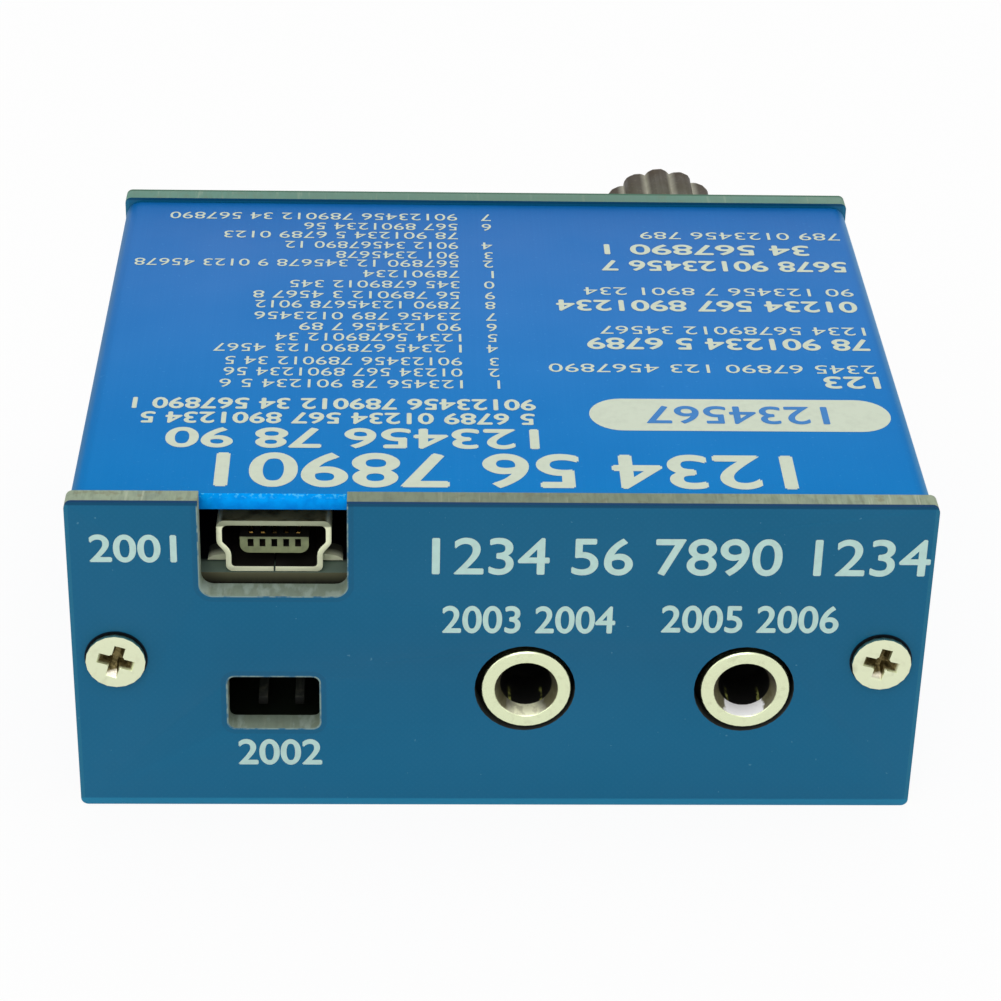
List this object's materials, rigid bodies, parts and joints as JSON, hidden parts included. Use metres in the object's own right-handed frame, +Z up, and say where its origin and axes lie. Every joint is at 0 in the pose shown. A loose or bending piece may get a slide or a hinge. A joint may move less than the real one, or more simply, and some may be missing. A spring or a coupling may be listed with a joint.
{
  "type": "morse code keyer",
  "caption": "Small electronic morse keyer in an extruded metal box: USB, programming, paddle and output sockets on one end, speed knob and push buttons on the other.",
  "frame": {"origin": "middle of the footprint, knob included, on the surface that the object rests on (the panels' lower edges)", "axes": "+X along the case's width, to the right when its socket panel is looked at; +Y from the socket panel to the control panel and the knob; +Z up"},
  "size_m": [0.058, 0.07, 0.0244],
  "materials": {
    "blue_anodised": "fine satin blue anodising over drawn aluminium",
    "blue_mask": "blue solder mask over glass-fibre board, pale grey-green at the routed edges",
    "bright_nickel": "bright nickel or tin plate with a slightly yellow cast",
    "black_plastic": "moulded, fine matt",
    "knob_plastic": "moulded, brownish black, satin",
    "pale_plastic": "moulded, pale, semi-gloss",
    "gold_plate": "thin gold plate",
    "green_board": "green solder mask over glass-fibre board",
    "resistor_paint": "baked tan coating"
  },
  "bodies": {
    "case": {"top_shell": "blue_anodised", "bottom_shell": "blue_anodised", "socket_panel": "blue_mask", "control_panel": "blue_mask", "socket_panel_screw_left": "bright_nickel", "socket_panel_screw_right": "bright_nickel", "control_panel_screw_left": "bright_nickel", "control_panel_screw_right": "bright_nickel", "main_board": "green_board", "controller_board": "green_board", "socket_strip_left": "black_plastic", "socket_strip_right": "black_plastic", "pin_strip_left": "black_plastic", "pin_strip_right": "black_plastic", "controller_chip": "black_plastic", "controller_crystal": "bright_nickel", "usb_shell": "bright_nickel", "usb_insulator": "pale_plastic", "usb_contact_1": "gold_plate", "usb_contact_2": "gold_plate", "usb_contact_3": "gold_plate", "usb_contact_4": "gold_plate", "usb_contact_5": "gold_plate", "program_header_base": "black_plastic", "program_pin_1": "bright_nickel", "program_pin_2": "bright_nickel", "paddle_jack_nose": "bright_nickel", "paddle_jack_body": "black_plastic", "paddle_jack_tip_spring": "gold_plate", "paddle_jack_ring_spring": "gold_plate", "output_jack_nose": "bright_nickel", "output_jack_body": "black_plastic", "output_jack_tip_spring": "gold_plate", "output_jack_ring_spring": "gold_plate", "speed_pot_body": "black_plastic", "speed_pot_bush": "bright_nickel", "speed_pot_washer": "bright_nickel", "speed_pot_nut": "bright_nickel", "set_switch_body": "black_plastic", "memory_1_switch_body": "black_plastic", "memory_2_switch_body": "black_plastic", "sidetone_buzzer": "black_plastic", "keying_transistor": "black_plastic", "supply_capacitor": "blue_anodised", "resistor_1": "resistor_paint", "resistor_2": "resistor_paint", "resistor_3": "resistor_paint"},
    "speed_knob": {"speed_knob": "knob_plastic", "speed_pot_shaft": "bright_nickel"},
    "set_button": {"set_button": "black_plastic"},
    "memory_1_button": {"memory_1_button": "black_plastic"},
    "memory_2_button": {"memory_2_button": "black_plastic"}
  },
  "joints": [
    {"name": "speed_knob_turn", "type": "hinge", "parent": "case", "child": "speed_knob", "pos_m": [0.01579, 0.01552, 0.01286], "axis": [0, 1, 0], "range_deg": [-140, 140]},
    {"name": "set_button_press", "type": "slide", "parent": "case", "child": "set_button", "axis": [0, -1, 0], "range_m": [0, 0.00025], "stiffness_N_per_m": 6000},
    {"name": "memory_1_button_press", "type": "slide", "parent": "case", "child": "memory_1_button", "axis": [0, -1, 0], "range_m": [0, 0.00025], "stiffness_N_per_m": 6000},
    {"name": "memory_2_button_press", "type": "slide", "parent": "case", "child": "memory_2_button", "axis": [0, -1, 0], "range_m": [0, 0.00025], "stiffness_N_per_m": 6000}
  ]
}
